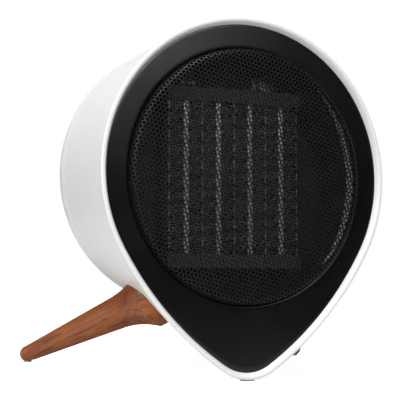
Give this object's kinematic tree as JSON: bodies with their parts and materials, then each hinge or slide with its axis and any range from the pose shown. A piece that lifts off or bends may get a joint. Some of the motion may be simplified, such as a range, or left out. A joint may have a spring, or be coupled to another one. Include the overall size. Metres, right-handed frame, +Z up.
{
  "type": "ceramic space heater",
  "caption": "Teardrop-faced ceramic fan heater: white round-backed shell, black fascia, domed mesh grille, splayed wooden rear legs.",
  "frame": {"origin": "on the ground, at the middle of the heater in plan", "axes": "+Z up, -Y the way the face looks, +X to the right of someone facing the heater; the face leans back by 4 degrees"},
  "size_m": [0.2712, 0.1884, 0.2857],
  "materials": {
    "shell_white": "glossy white moulded plastic",
    "fascia_black": "satin black moulded plastic",
    "grille_steel": "dark satin perforated steel",
    "inner_black": "dull black moulded plastic",
    "moulded_resin": "dull heat-proof moulding",
    "aluminium": "plain aluminium",
    "steel": "plain steel",
    "bronze": "sintered bronze",
    "copper": "enamelled copper wire and laminations",
    "knob_black": "satin black moulded plastic",
    "lens_amber": "translucent amber",
    "walnut": "oiled brown wood",
    "foot_rubber": "pale soft rubber"
  },
  "bodies": {
    "housing": {"body_shell": "shell_white", "rear_cover": "shell_white", "front_bezel": "fascia_black", "front_grille": "grille_steel", "grille_retainer": "inner_black", "baffle_plate": "inner_black", "air_duct": "moulded_resin", "element_holder_top": "moulded_resin", "element_holder_bottom": "moulded_resin", "thermal_cutout": "steel", "thermal_fuse": "steel", "fan_shroud": "inner_black", "motor_stator": "copper", "motor_end_bracket": "steel", "motor_can": "steel", "bush_front": "bronze", "bush_rear": "bronze", "mode_switch": "moulded_resin", "thermostat_switch": "moulded_resin", "indicator_lens": "lens_amber", "cord_gland": "knob_black", "terminal_block": "moulded_resin", "tilt_switch_case": "moulded_resin", "rear_leg_left": "walnut", "rear_leg_right": "walnut", "leg_screw_left": "steel", "leg_screw_right": "steel", "leg_pad_left": "foot_rubber", "leg_pad_right": "foot_rubber", "front_pad": "foot_rubber", "ptc_bar_1": "aluminium", "cover_screw_1": "steel", "ptc_bar_2": "aluminium", "cover_screw_2": "steel", "ptc_bar_3": "aluminium", "cover_screw_3": "steel", "ptc_bar_4": "aluminium", "cover_screw_4": "steel", "fin_pack_1": "aluminium", "fin_pack_2": "aluminium", "fin_pack_3": "aluminium", "fin_pack_4": "aluminium", "fin_pack_5": "aluminium", "fin_pack_6": "aluminium", "fin_pack_7": "aluminium", "fin_pack_8": "aluminium", "element_separator_1": "aluminium", "element_separator_2": "aluminium", "element_separator_3": "aluminium", "element_side_left": "aluminium", "element_side_right": "aluminium"},
    "fan_rotor": {"fan_impeller": "inner_black", "motor_shaft": "steel", "motor_rotor": "steel"},
    "mode_dial": {"mode_knob": "knob_black", "mode_spindle": "steel"},
    "thermostat_dial": {"thermostat_knob": "knob_black", "thermostat_spindle": "steel"},
    "tilt_weight": {"tilt_pendulum": "steel"}
  },
  "joints": [
    {"name": "fan_spin", "type": "hinge", "parent": "housing", "child": "fan_rotor", "pos_m": [0, -0.08263, 0.16829], "axis": [0, 0.9976, -0.0698], "continuous": true},
    {"name": "mode_turn", "type": "hinge", "parent": "housing", "child": "mode_dial", "pos_m": [-0.0265, -0.08559, 0.12599], "axis": [0, -0.9976, 0.0698], "range_deg": [0, 135]},
    {"name": "thermostat_turn", "type": "hinge", "parent": "housing", "child": "thermostat_dial", "pos_m": [0.0265, -0.08559, 0.12599], "axis": [0, -0.9976, 0.0698], "range_deg": [0, 270]},
    {"name": "tilt_swing", "type": "hinge", "parent": "housing", "child": "tilt_weight", "pos_m": [0.001, 0.02315, 0.07543], "axis": [1, 0, 0], "range_deg": [-30, 30]}
  ]
}
